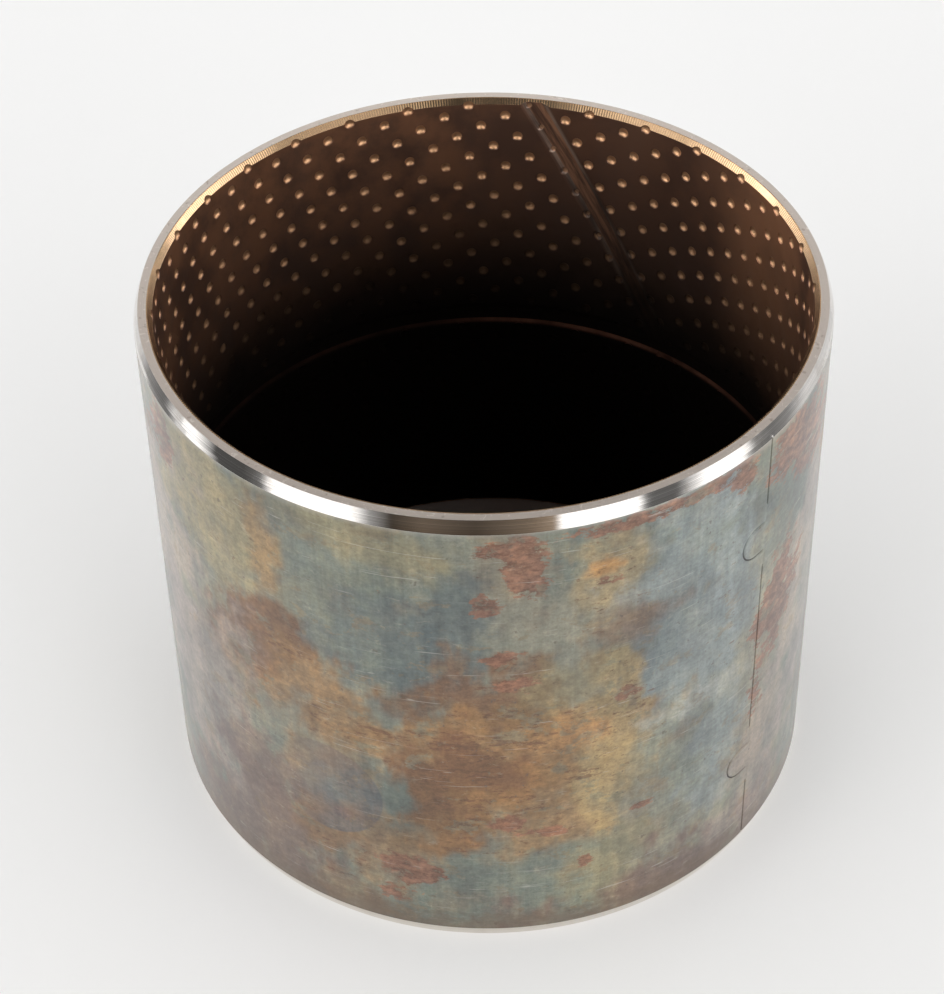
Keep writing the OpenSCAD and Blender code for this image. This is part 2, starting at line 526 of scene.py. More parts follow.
# Stains on the outer wall: angle round the axis in degrees, depth below the
# upper end, half-width and half-height in mm, strength, softness, colour.
SLATE = (0.100, 0.126, 0.130)
TEAL = (0.140, 0.170, 0.150)
PALE_BLUE = (0.215, 0.250, 0.255)
OLIVE = (0.262, 0.222, 0.124)
STRAW = (0.310, 0.232, 0.120)
OCHRE = (0.255, 0.146, 0.062)
RUST = (0.168, 0.086, 0.043)
PLUM = (0.155, 0.105, 0.088)
ROSE = (0.300, 0.250, 0.225)
BRASS = (0.36, 0.20, 0.085)
AMBER = (0.42, 0.23, 0.085)
BONE = (0.36, 0.37, 0.33)
STAINS = (
    (-138, 10, 15, 13, 0.75, 0.5, OLIVE), (-122, 12, 3.5, 12, 0.6, 0.5, SLATE),
    (-128, 12, 2.2, 9, 0.6, 0.5, OCHRE), (-112, 11, 9, 9, 0.5, 0.5, TEAL),
    (-108, 22, 9, 8, 0.7, 0.5, SLATE), (-96, 19, 4.5, 12, 0.75, 0.5, SLATE),
    (-103, 6, 7, 4, 0.6, 0.5, OLIVE), (-116, 4, 6, 3, 0.6, 0.5, OLIVE),
    (-71, 9, 5.5, 6, 0.7, 0.6, STRAW), (-56, 13, 9, 12, 0.7, 0.5, PALE_BLUE),
    (-57, 31, 8, 9, 0.8, 0.45, PALE_BLUE), (-61, 24, 6, 7, 0.5, 0.5, SLATE),
    (-47, 19, 6, 12, 0.7, 0.5, PALE_BLUE), (-67, 20, 6, 4, 0.6, 0.6, RUST),
    (-129, 29, 9, 6.5, 0.9, 0.4, RUST), (-122, 34, 10, 6, 0.75, 0.45, OCHRE),
    (-136, 33, 6, 7, 0.5, 0.5, RUST), (-113, 40, 5, 3, 0.7, 0.5, OCHRE),
    (-120, 47, 5, 5, 0.45, 0.5, OCHRE), (-87, 29, 12, 7, 0.85, 0.45, RUST),
    (-84, 40, 17, 9, 0.85, 0.4, OCHRE), (-94, 47, 9, 10, 0.95, 0.4, RUST),
    (-80, 52, 10, 8, 0.7, 0.45, OCHRE), (-75, 38, 8, 3.4, 0.75, 0.4, BRASS),
    (-69, 44, 4.5, 15, 0.9, 0.4, STRAW), (-77, 28, 7, 5, 0.55, 0.5, OLIVE),
    (-101, 56, 5, 8, 0.5, 0.5, OCHRE), (-86, 65, 15, 6, 0.75, 0.5, TEAL),
    (-70, 66, 6, 7, 0.55, 0.5, OLIVE), (-108, 61, 5, 7, 0.5, 0.5, OCHRE),
    (-57, 47, 8, 9, 0.45, 0.5, TEAL), (-49, 50, 7, 12, 0.65, 0.5, PALE_BLUE),
    (-53, 39, 11, 2.0, 0.6, 0.6, BONE), (-30, 55, 8, 10, 0.5, 0.5, ROSE),
    (-56, 71, 17, 5.5, 0.9, 0.5, PLUM), (-38, 67, 7, 8, 0.5, 0.5, ROSE),
    (-138, 66, 17, 11, 0.85, 0.5, PLUM), (-147, 45, 12, 15, 0.6, 0.5, ROSE),
    (-134, 52, 9, 9, 0.75, 0.5, PLUM), (-160, 28, 10, 20, 0.7, 0.5, ROSE),
    (-20, 35, 9, 22, 0.6, 0.5, ROSE), (-114, 71, 6, 4, 0.5, 0.5, RUST),
    (-119, 52, 3, 4, 0.6, 0.5, SLATE), (-73, 9.2, 2.2, 1.2, 0.9, 0.4, AMBER),
    (-120, 60, 6, 5, 0.6, 0.5, OCHRE), (15, 18, 16, 9, 0.7, 0.5, OCHRE),
    (32, 45, 13, 12, 0.7, 0.5, SLATE), (62, 30, 10, 14, 0.65, 0.5, OLIVE),
    (80, 16, 9, 6, 0.8, 0.4, RUST), (98, 42, 17, 10, 0.75, 0.45, OCHRE),
    (118, 22, 11, 11, 0.7, 0.5, PALE_BLUE), (110, 62, 12, 8, 0.65, 0.5, TEAL),
    (140, 55, 12, 9, 0.7, 0.5, PLUM), (150, 30, 8, 9, 0.6, 0.5, OLIVE),
    (172, 58, 10, 8, 0.6, 0.5, OCHRE), (8, 62, 12, 6, 0.6, 0.5, ROSE),
    (-5, 40, 9, 12, 0.5, 0.5, TEAL), (70, 66, 12, 6, 0.6, 0.5, RUST),
)
# Patches of red-brown oxide with ragged edges, given the same way.
COPPER_PATCHES = (
    (-155, 7.5, 3.6, 5, 0.75), (-161, 10, 4, 3, 0.6), (-84, 7.5, 2.4, 5, 0.85),
    (-87.5, 4.5, 3.4, 1.3, 0.7), (-90.5, 13.5, 1.8, 1.6, 0.85), (-66, 3.0, 9, 1.1, 0.85),
    (-55, 3.2, 4, 1.3, 0.85), (-46, 4.5, 2.3, 2.8, 0.85), (-29, 7.5, 5.5, 6, 0.85),
    (-21, 11, 5, 5, 0.7), (-34, 33, 4.4, 9.5, 0.85), (-38.5, 48, 1.8, 6, 0.6),
    (-28, 30, 3, 5, 0.6),
    (-104, 63.5, 4, 3, 0.85), (-116, 56, 1.4, 1.0, 0.9), (-88, 22.5, 2.6, 1.0, 0.8),
    (-86, 27, 2.6, 1.2, 0.7), (-68, 32, 1.6, 1.2, 0.7), (-87, 53.5, 2.4, 1.3, 0.8),
    (-81, 55.5, 3.2, 1.0, 0.75), (-64, 55, 1.6, 0.8, 0.7), (-74, 62.5, 1.2, 1.0, 0.7),
    (-71.5, 11.5, 1.6, 0.9, 0.7), (-107, 69, 2.2, 1.3, 0.7), (48, 9, 5, 4, 0.8),
    (84, 15, 4, 5, 0.8), (163, 9, 7, 4, 0.8),
)
# Places where small dark flecks crowd together, given the same way.
FLECKS = (
    (-90, 38, 10, 1.8, 1.0), (-84, 33, 10, 2.5, 0.5), (-95, 44, 7, 2, 0.6), (-78, 45, 8, 2.5, 0.5),
    (-88, 51, 10, 4, 0.55), (-124, 28, 6, 3, 0.6), (-112, 37.5, 6, 1.6, 0.8), (-66, 33, 3, 2, 0.6),
    (-48, 26, 3, 8, 0.5), (-45, 52, 4, 5, 0.6), (-87, 26.5, 5, 1.5, 0.8), (-70, 16, 5, 3, 0.5),
    (-85, 60, 9, 2, 0.6), (-108, 66, 8, 4, 0.6), (-75, 8, 5, 3, 0.5), (-86, 6, 8, 3, 0.5),
    (95, 36, 12, 3, 0.8), (20, 20, 10, 4, 0.7), (160, 55, 9, 5, 0.6),
)
# Colours of the wall's oxide between the stains.
OXIDE_COOL = (0.130, 0.152, 0.132)
OXIDE_WARM = (0.240, 0.232, 0.180)
OXIDE_BROWN = (0.205, 0.158, 0.110)
# Waves a metre of the noises that bend and fray the stains, and a shift that
# makes a second noise differ from the first.
BROAD, COARSE, FINE = 40.0, 95.0, 300.0
SHIFT = Vector((7.3, 1.1, 4.7))


def paint_backing(mesh):
    """The oxide's colour, its flecks and its red-brown patches, at each vertex."""
    place = np.empty(len(mesh.vertices) * 3)
    mesh.vertices.foreach_get("co", place)
    place = place.reshape(-1, 3)
    angle = np.arctan2(place[:, 1], place[:, 0])
    below = LENGTH - place[:, 2] / MM
    warp = np.array([(noise.fractal(p * COARSE, 0.7, 2.0, 6),
                      noise.fractal(p * COARSE + SHIFT, 0.7, 2.0, 6),
                      noise.fractal(p * FINE, 0.6, 2.0, 5),
                      noise.noise(p * BROAD + SHIFT))
                     for p in (Vector(q) for q in place.tolist())])
    across, along, ragged, broad = warp.T

    def share(spot, wander, soft, strength):
        """Share of a spot's own colour at each vertex."""
        degrees, depth, wide, tall = spot[:4]
        turned = (angle - math.radians(degrees) + math.pi) % TURN - math.pi
        far = np.hypot(turned * OUTER_R / wide + across * wander,
                       (below - depth) / tall + along * wander)
        far = far + ragged * 0.34
        return strength * (1 - step_up(far, 1 - soft, 1 + soft))

    def strongest(spots, wander, soft):
        shares = [share(spot, wander, soft, spot[4]) for spot in spots]
        return np.maximum.reduce([np.zeros(len(place))] + shares)

    cool, warm, brown = np.array([OXIDE_COOL, OXIDE_WARM, OXIDE_BROWN])
    lift = step_up(broad * 0.5 + across * 0.35, -0.35, 0.35)[:, None]
    colour = cool * (1 - lift) + warm * lift
    lift = 0.45 * step_up(along - broad * 0.4, 0.05, 0.4)[:, None]
    colour = colour * (1 - lift) + brown * lift
    for spot in STAINS:
        part = share(spot, 0.75, spot[5] * 0.8, spot[4])[:, None]
        colour = colour * (1 - part) + np.array(spot[6]) * part
    patch = strongest(COPPER_PATCHES, 0.5, 0.8)
    fleck = strongest(FLECKS, 0.7, 0.9)
    made = mesh.attributes.new("oxide", "FLOAT_COLOR", "POINT")
    made.data.foreach_set("color", np.column_stack([colour, fleck]).ravel())
    made = mesh.attributes.new("patch", "FLOAT", "POINT")
    made.data.foreach_set("value", patch)


paint_backing(backing.data)

for piece, node, slot in ((backing, "steel_backing", "backing_steel"),
                          (lining, "bronze_lining", "lining_bronze")):
    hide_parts(node)
    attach(piece, "root")


# ---- Materials ----
class Shader:
    """Short names for the nodes of one material, or of the world."""

    def __init__(self, block):
        block.use_nodes = True
        self.block = block
        self.tree = block.node_tree
        self.tree.nodes.clear()

    def node(self, kind, **settings):
        made = self.tree.nodes.new(kind)
        for key, value in settings.items():
            setattr(made, key, value)
        return made

    def put(self, socket, value):
        if isinstance(value, bpy.types.NodeSocket):
            self.tree.links.new(value, socket)
        else:
            socket.default_value = value

    def calc(self, operation, *values):
        made = self.node("ShaderNodeMath", operation=operation)
        for socket, value in zip(made.inputs, values):
            self.put(socket, value)
        return made.outputs[0]

    def plus(self, a, b):
        return self.calc("ADD", a, b)

    def minus(self, a, b):
        return self.calc("SUBTRACT", a, b)

    def times(self, a, b):
        return self.calc("MULTIPLY", a, b)

    def vector(self, operation, *values):
        made = self.node("ShaderNodeVectorMath", operation=operation)
        for socket, value in zip(made.inputs, values):
            self.put(socket, value)
        return made.outputs["Value" if operation in ("LENGTH", "DOT_PRODUCT") else "Vector"]

    def fade(self, value, start, end, low=0.0, high=1.0):
        made = self.node("ShaderNodeMapRange", interpolation_type="SMOOTHSTEP")
        for socket, given in zip(made.inputs, (value, start, end, low, high)):
            self.put(socket, given)
        return made.outputs[0]

    def window(self, value, start, end, soft):
        return self.times(self.fade(value, start - soft, start + soft),
                          self.fade(value, end - soft, end + soft, 1.0, 0.0))

    def noise(self, vector, scale, detail=3.0, rough=0.55, distortion=0.0):
        """Noise from 0 to 1; the scale is in waves a metre."""
        made = self.node("ShaderNodeTexNoise")
        self.put(made.inputs["Vector"], vector)
        self.put(made.inputs["Scale"], scale)
        self.put(made.inputs["Detail"], detail)
        self.put(made.inputs["Roughness"], rough)
        self.put(made.inputs["Distortion"], distortion)
        return made.outputs[0]

    def stretch(self, vector, x, y, z):
        return self.vector("MULTIPLY", vector, (x, y, z))

    def mix(self, share, a, b, blend="MIX"):
        made = self.node("ShaderNodeMix", data_type="RGBA", blend_type=blend)
        self.put(made.inputs[0], share)
        for socket, value in ((made.inputs[6], a), (made.inputs[7], b)):
            self.put(socket, value if isinstance(value, bpy.types.NodeSocket) else (*value, 1))
        return made.outputs[2]

    def blend(self, share, a, b):
        made = self.node("ShaderNodeMix", data_type="FLOAT")
        for socket, value in zip((made.inputs[0], made.inputs[2], made.inputs[3]), (share, a, b)):
            self.put(socket, value)
        return made.outputs[0]

    def ramp(self, value, stops):
        made = self.node("ShaderNodeValToRGB")
        ramp = made.color_ramp
        while len(ramp.elements) < len(stops):
            ramp.elements.new(0.5)
        for element, (place, colour) in zip(ramp.elements, stops):
            element.position = place
            element.color = (*colour, 1)
        self.put(made.inputs[0], value)
        return made.outputs[0]

    def polar(self):
        """Object position, radius, height, angle and the face's own upward lean."""
        place = self.node("ShaderNodeTexCoord").outputs["Object"]
        split = self.node("ShaderNodeSeparateXYZ")
        self.put(split.inputs[0], place)
        x, y, z = split.outputs
        radius = self.calc("SQRT", self.plus(self.times(x, x), self.times(y, y)))
        geometry = self.node("ShaderNodeNewGeometry")
        lean = self.node("ShaderNodeSeparateXYZ")
        self.put(lean.inputs[0], geometry.outputs["True Normal"])
        angle = self.calc("ARCTAN2", y, x)
        return place, radius, z, angle, lean.outputs[2]

    def finish(self, colour, roughness, height, metal, distance, **extra):
        """The surface of a material; the height is given as a share of the distance."""
        bump = self.node("ShaderNodeBump")
        self.put(bump.inputs["Strength"], 1.0)
        self.put(bump.inputs["Distance"], distance)
        self.put(bump.inputs["Height"], height)
        surface = self.node("ShaderNodeBsdfPrincipled")
        self.put(surface.inputs["Base Color"], colour)
        self.put(surface.inputs["Roughness"], roughness)
        self.put(surface.inputs["Metallic"], metal)
        self.put(surface.inputs["Normal"], bump.outputs[0])
        for key, value in extra.items():
            self.put(surface.inputs[key.replace("_", " ")], value)
        out = self.node("ShaderNodeOutputMaterial")
        self.tree.links.new(surface.outputs[0], out.inputs[0])
        return self.block


def greys(start, low, end, high):
    """Stops of a ramp between two greys."""
    return (start, (low,) * 3), (end, (high,) * 3)


# Colours of the steel.
PATCH_DARK, PATCH_LIGHT = (0.115, 0.050, 0.033), (0.265, 0.128, 0.082)
MARK_BLUE, MARK_BROWN = (0.088, 0.100, 0.115), (0.150, 0.112, 0.098)
GREY_GREEN = (0.165, 0.172, 0.128)
TAN = (0.225, 0.155, 0.080)
CHIP = (0.115, 0.056, 0.034)
PALE_FILM = (0.36, 0.33, 0.255)
PIT = (0.10, 0.08, 0.065)
SCRATCH = (0.48, 0.46, 0.42)
WORN_STEEL = (0.50, 0.475, 0.44)
FOOT_DARKENING = (0.125, 0.084, 0.056)
SEAM_SHADE = (0.018, 0.014, 0.012)
CUT_DARK, CUT_LIGHT = (0.58, 0.55, 0.52), (0.90, 0.87, 0.84)
CUT_DULL = (0.50, 0.44, 0.38)
CUT_FOOT = (0.60, 0.55, 0.47)
END_DARK, END_LIGHT = (0.42, 0.365, 0.325), (0.66, 0.585, 0.53)
END_SCUFF = (0.80, 0.74, 0.69)
END_PIT = (0.25, 0.19, 0.15)
# Tints laid over the oxide, as stops of a ramp over a noise.
CRUMBS = (0.36, (0.60, 0.55, 0.52)), (0.50, (0.98, 0.97, 0.96)), (0.66, (1.45, 1.40, 1.28))
MOTTLE = (0.34, (0.62, 0.63, 0.68)), (0.50, (1, 1, 1)), (0.66, (1.45, 1.36, 1.18))
# The one round water mark: angle, depth below the upper end and radius in mm.
MARK_ANGLE, MARK_DEPTH, MARK_R = math.radians(-119), 51.5, 8.3


def patinated_steel():
    s = Shader(bpy.data.materials.new("patinated_steel"))
    place, radius, z, angle, lean = s.polar()
    cloud = s.noise(place, 90, 5, 0.6)
    speck = s.noise(place, 900, 3, 0.6)
    grain = s.noise(place, 2600, 3, 0.6)
    brush_round = s.noise(s.stretch(place, 25, 25, 1500), 1.0, 4, 0.65)
    brush_up = s.noise(s.stretch(place, 800, 800, 30), 1.0, 4, 0.65)
    flakes = s.minus(s.noise(s.stretch(place, 1, 1, 2.0), 390, 10, 0.76), 0.5)

    # The oxide's colour and its red-brown patches are painted on the mesh. The
    # patches get their ragged edges here.
    painted = s.node("ShaderNodeAttribute", attribute_name="oxide")
    fleck = painted.outputs["Alpha"]
    patch = s.node("ShaderNodeAttribute", attribute_name="patch").outputs["Fac"]
    colour = painted.outputs["Color"]
    ragged = s.fade(s.plus(patch, s.times(flakes, 2.4)), 0.38, 0.47)
    patch_colour = s.mix(s.fade(flakes, -0.12, 0.12), PATCH_DARK, PATCH_LIGHT)
    colour = s.mix(s.times(ragged, 0.85), colour, patch_colour)

    # The round water mark, darker inside a crisp edge and fading to its left.
    spot = s.node("ShaderNodeMapping", vector_type="TEXTURE")
    s.put(spot.inputs["Vector"], place)
    s.put(spot.inputs["Location"], (OUTER_R * MM * math.cos(MARK_ANGLE),
                                    OUTER_R * MM * math.sin(MARK_ANGLE),
                                    (LENGTH - MARK_DEPTH) * MM))
    s.put(spot.inputs["Rotation"], (0, 0, MARK_ANGLE))
    s.put(spot.inputs["Scale"], (30 * MM, MARK_R * MM, MARK_R * MM))
    edge = s.plus(s.vector("LENGTH", spot.outputs[0]), s.times(flakes, 0.06))
    inside = s.fade(edge, 1.02, 0.98, 0.0, 0.68)
    inside = s.times(inside, s.fade(angle, math.radians(-129), math.radians(-117)))
    mark_colour = s.mix(s.fade(cloud, 0.4, 0.6), MARK_BLUE, MARK_BROWN)
    colour = s.mix(inside, colour, mark_colour)

    # Islands of the other kind of oxide: grey-green on warm stains, tan on cool
    # ones. Brown chips are thickest where the stains are warm or flecked.
    warm = s.node("ShaderNodeSeparateColor")
    s.put(warm.inputs[0], colour)
    warm = s.fade(s.calc("DIVIDE", warm.outputs[0], warm.outputs[2]), 1.45, 2.3)
    islands = s.noise(s.stretch(place, 1, 1, 1.5), 175, 9, 0.72, 0.3)
    on_warm = s.times(s.fade(islands, 0.555, 0.60), warm)
    colour = s.mix(s.times(on_warm, 0.50), colour, GREY_GREEN)
    on_cool = s.times(s.fade(islands, 0.43, 0.385), s.minus(1.0, warm))
    colour = s.mix(s.times(on_cool, 0.36), colour, TAN)
    chips = s.noise(s.stretch(place, 1, 1, 3.0), 430, 8, 0.76)
    chips = s.plus(chips, s.plus(s.times(warm, 0.045), s.times(fleck, 0.11)))
    chips = s.fade(chips, 0.645, 0.675)
    colour = s.mix(s.times(chips, 0.65), colour, CHIP)

    # Fine variation over all of it, then pits and bright scratches.
    crumbs = s.ramp(s.noise(s.stretch(place, 1, 1, 1.5), 760, 5, 0.7), CRUMBS)
    colour = s.mix(s.blend(warm, 0.32, 0.50), colour, crumbs, "MULTIPLY")
    pale = s.fade(s.noise(s.stretch(place, 1, 1, 1.9), 400, 7, 0.74, 0.4), 0.60, 0.65)
    colour = s.mix(s.times(pale, 0.25), colour, PALE_FILM)
    streaks = greys(0.3, 0.4, 0.7, 1.6)
    colour = s.mix(s.blend(warm, 0.26, 0.14), colour, s.ramp(brush_up, streaks), "MULTIPLY")
    colour = s.mix(0.08, colour, s.ramp(brush_round, streaks), "MULTIPLY")
    mottle = s.ramp(s.noise(s.stretch(place, 1, 1, 0.7), 130, 8, 0.66), MOTTLE)
    colour = s.mix(0.75, colour, mottle, "MULTIPLY")
    colour = s.mix(0.28, colour, s.ramp(grain, greys(0.35, 0.7, 0.65, 1.3)), "MULTIPLY")
    pits = s.fade(speck, 0.66, 0.72)
    colour = s.mix(s.times(pits, 0.6), colour, PIT)
    scratch = s.noise(s.stretch(place, 110, 110, 3000), 1.0, 2, 0.4, 1.2)
    scratch = s.fade(scratch, 0.695, 0.725)
    colour = s.mix(s.times(scratch, 0.35), colour, SCRATCH)

    # Edge wear where the wall meets the upper chamfer, darker towards its foot, and
    # the dark inside of the seam.
    depth = s.calc("MINIMUM", z, s.minus(LENGTH * MM, z))
    worn = s.fade(s.plus(depth, s.times(cloud, 1.6 * MM)), 3.6 * MM, 2.2 * MM)
    worn = s.times(worn, s.fade(z, 5 * MM, 20 * MM))
    colour = s.mix(s.times(worn, 0.35), colour, WORN_STEEL)
    foot = s.plus(z, s.times(flakes, 12 * MM))
    foot = s.fade(foot, 6.5 * MM, 2.5 * MM, 0.0, 0.6)
    colour = s.mix(foot, colour, FOOT_DARKENING)
    in_seam = s.fade(s.minus(OUTER_R * MM, radius), 0.03 * MM, 0.14 * MM)
    colour = s.mix(s.times(in_seam, 0.93), colour, SEAM_SHADE)
    wall_rough = s.blend(brush_up, 0.36, 0.56)

    # Turned faces: the chamfers are polished, the end faces satin.
    lines = s.noise(s.stretch(place, 3, 3, 9000), 1.0, 3, 0.6)
    rings = s.node("ShaderNodeCombineXYZ")
    s.put(rings.inputs[0], s.times(radius, 14000.0))
    s.put(rings.inputs[1], s.times(angle, 0.7))
    rings = s.noise(rings.outputs[0], 1.0, 3, 0.6)
    cut = s.fade(depth, 1.86 * MM, 1.76 * MM)
    cut_colour = s.mix(s.fade(lines, 0.3, 0.7), CUT_DARK, CUT_LIGHT)
    dull = s.fade(s.noise(place, 260, 4), 0.52, 0.68)
    cut_colour = s.mix(s.times(dull, 0.35), cut_colour, CUT_DULL)
    cut_colour = s.mix(s.fade(z, 3 * MM, 2 * MM, 0.0, 0.6), cut_colour, CUT_FOOT)
    flat = s.fade(s.calc("ABSOLUTE", lean), 0.9, 0.97)
    scuff = s.fade(s.noise(s.stretch(place, 900, 900, 1), 1.0, 3, 0.5, 2.0), 0.60, 0.70)
    flat_colour = s.mix(rings, END_DARK, END_LIGHT)
    flat_colour = s.mix(s.times(scuff, 0.5), flat_colour, END_SCUFF)
    end_pits = s.times(s.fade(speck, 0.62, 0.70), 0.5)
    flat_colour = s.mix(end_pits, flat_colour, END_PIT)
    colour = s.mix(cut, colour, cut_colour)
    colour = s.mix(flat, colour, flat_colour)
    rough = s.blend(cut, wall_rough, s.blend(lines, 0.045, 0.10))
    rough = s.blend(flat, rough, s.blend(rings, 0.28, 0.42))

    wall_height = s.plus(s.times(brush_up, 0.5),
                         s.plus(s.times(brush_round, 0.45), s.times(grain, 0.3)))
    wall_height = s.minus(wall_height, s.times(pits, 0.8))
    height = s.blend(cut, wall_height, s.times(lines, 0.16))
    height = s.blend(flat, height, s.plus(s.times(rings, 0.35), s.times(grain, 0.25)))
    bare = s.calc("MAXIMUM", cut, flat)
    return s.finish(colour, rough, height, s.blend(bare, 0.82, 1.0), 0.012 * MM,
                    Coat_Weight=s.blend(bare, 0.8, 0.0), Coat_Roughness=0.22)


# Colours of the bronze.
BORE_DARK, BORE_RED = (0.082, 0.040, 0.026), (0.220, 0.098, 0.050)
BORE_STREAK = (0.100, 0.060, 0.044)
# Colour of the painted light on one side of the bore.
BORE_LIT = (0.38, 0.18, 0.095)
FLANK_DARK, FLANK_LIGHT = (0.075, 0.052, 0.042), (0.27, 0.185, 0.140)
FLOOR_DARK, FLOOR_LIGHT = (0.085, 0.044, 0.030), (0.290, 0.145, 0.084)
POCKET_DARK, POCKET_LIGHT = (0.26, 0.140, 0.074), (0.62, 0.365, 0.205)
# Near-black painted shade for the bore's depths.
BORE_DEPTH_SHADE = (0.010, 0.008, 0.007)
# Colour of the painted highlight on the ring groove's lower flank.
LEDGE_HIGHLIGHT = (0.42, 0.19, 0.125)
MOUTH_DARK, MOUTH_LIGHT = (0.38, 0.245, 0.140), (0.57, 0.39, 0.235)
CHATTER_DARK = (0.26, 0.16, 0.09)
MOUTH_STAIN = (0.38, 0.24, 0.15)
CHATTER_RIBS = 720      # in one radian of the bore, times two pi


def lining_bronze():
    s = Shader(bpy.data.materials.new("lining_bronze"))
    place, radius, z, angle, lean = s.polar()

    def facing(degrees):
        """Cosine of the angle round the axis from a direction."""
        return s.calc("COSINE", s.minus(angle, math.radians(degrees)))

    depth = s.minus(LENGTH * MM, z)
    cloud = s.noise(place, 120, 5, 0.6)
    fine = s.noise(place, 1500, 3, 0.6)
    along = s.noise(s.stretch(place, 260, 260, 40), 1.0, 4, 0.6)
    swirl = s.noise(s.stretch(place, 30, 30, 1300), 1.0, 3, 0.6)

    carved = s.minus(radius, BORE_R * MM)
    blotch_and_shade = s.fade(cloud, 0.36, 0.64)
    # Painted shade: near the side facing 64 degrees round the axis the red blotches fade, so that
    # side of the bore is darker.
    blotch_and_shade = s.times(blotch_and_shade, s.fade(facing(64), 0.80, 0.99, 1.0, 0.30))
    wall_colour = s.mix(blotch_and_shade, BORE_DARK, BORE_RED)
    wall_colour = s.mix(s.times(along, 0.5), wall_colour, BORE_STREAK)
    # Painted light: a lighter, warmer pool on the side of the bore facing 24 degrees round the
    # axis.
    lit_side = s.times(s.fade(facing(24), 0.955, 1.0), 0.40)
    wall_colour = s.mix(lit_side, wall_colour, BORE_LIT)

    # Where the grooves and the pockets are, from how deep the surface lies and
    # how far it is from each groove's centre line, in millimetres.
    low = s.fade(carved, 0.04 * MM, 0.22 * MM)
    round_groove = s.times(s.minus(angle, GROOVE_START), BORE_R * MM)
    round_groove = s.plus(round_groove, s.times(depth, math.tan(GROOVE_LEAN)))
    off = s.times(round_groove, math.cos(GROOVE_LEAN) / MM)
    level = s.minus(s.calc("DIVIDE", z, MM), LENGTH / 2)
    streak = s.node("ShaderNodeCombineXYZ")
    s.put(streak.inputs[0], s.times(off, 0.8))
    s.put(streak.inputs[1], s.times(depth, 90.0))
    streak = s.noise(streak.outputs[0], 1.0, 4, 0.65)
    half = GROOVE_W / 2
    in_groove = s.calc("MAXIMUM", s.window(off, -half, half, 0.05),
                       s.window(level, -half, half, 0.05))
    floor_here = s.fade(carved, 0.28 * MM, 0.33 * MM)
    deep = s.fade(carved, 0.35 * MM, 0.38 * MM)
    flank_colour = s.mix(s.fade(streak, 0.35, 0.65), FLANK_DARK, FLANK_LIGHT)
    floor_colour = s.mix(s.fade(streak, 0.38, 0.62), FLOOR_DARK, FLOOR_LIGHT)
    groove = s.mix(floor_here, flank_colour, floor_colour)
    pocket = s.mix(fine, POCKET_DARK, POCKET_LIGHT)
    groove = s.mix(s.times(deep, 0.5), groove, pocket)
    colour = s.mix(low, wall_colour, s.mix(in_groove, pocket, groove))

    # Painted shade: the bore is painted near black away from its upper mouth, standing in for the
    # shade deep inside it.
    depth_shade = s.times(s.minus(cloud, 0.5), 18 * MM)
    depth_shade = s.fade(s.plus(depth, depth_shade), 3 * MM, 38 * MM, 0.0, 0.99)
    colour = s.mix(depth_shade, colour, BORE_DEPTH_SHADE)

    # Painted highlight: the upward-facing lower flank of the ring groove is painted
    # as a thin bright reddish line over the painted shade, clearest near the crossing.
    ledge_highlight = s.times(s.window(level, -half, -GROOVE_FLOOR_W / 2, 0.05), low)
    ledge_highlight = s.times(ledge_highlight, s.fade(facing(62), 0.75, 0.995, 0.10, 0.50))
    ledge_highlight = s.times(ledge_highlight, s.fade(cloud, 0.35, 0.60, 0.4, 1.0))
    colour = s.mix(ledge_highlight, colour, LEDGE_HIGHLIGHT)
    pocketed = s.times(low, s.minus(1.0, in_groove))

    # The mouth chamfers are bare bronze, ribbed by the chatter of the tool.
    mouth_here = s.fade(s.calc("MINIMUM", z, depth), 0.80 * MM, 0.70 * MM)
    mouth_here = s.times(mouth_here, s.fade(s.calc("ABSOLUTE", lean), 0.35, 0.5))
    chatter = s.noise(s.stretch(place, 1, 1, 0), 70, 2, 0.5)
    ribs = s.calc("SINE", s.times(angle, CHATTER_RIBS))
    ribs = s.plus(s.times(ribs, 0.5), 0.5)
    ribs = s.times(ribs, s.fade(chatter, 0.36, 0.50))
    mouth_colour = s.mix(fine, MOUTH_DARK, MOUTH_LIGHT)
    mouth_colour = s.mix(s.times(ribs, 0.5), mouth_colour, CHATTER_DARK)
    stained = s.times(s.fade(cloud, 0.52, 0.66), 0.4)
    mouth_colour = s.mix(stained, mouth_colour, MOUTH_STAIN)
    colour = s.mix(mouth_here, colour, mouth_colour)

    rough = s.blend(pocketed, s.blend(along, 0.28, 0.42), s.blend(fine, 0.30, 0.50))
    # The bore's painted shade also makes it rough and dull, but not on the ledge's painted
    # highlight or in the mouth.
    rough = s.blend(s.times(depth_shade, s.minus(1.0, ledge_highlight)), rough, 0.85)
    rough = s.blend(mouth_here, rough, s.blend(ribs, 0.15, 0.26))
    height = s.plus(s.times(fine, 0.5), s.times(swirl, 0.3))
    height = s.blend(mouth_here, height, s.times(ribs, 0.9))
    metal = s.blend(mouth_here, s.blend(pocketed, 0.70, 0.88), 1.0)
    shine = s.blend(s.times(depth_shade, s.minus(1.0, mouth_here)), 0.5, 0.03)
    return s.finish(colour, rough, height, metal, 0.015 * MM, Specular_IOR_Level=shine)


FLOOR_GREYS = (0.885, 0.885, 0.890), (0.915, 0.915, 0.918)
# The floor's painted shade further back.
FLOOR_FAR_SHADE = (0.835, 0.837, 0.842)


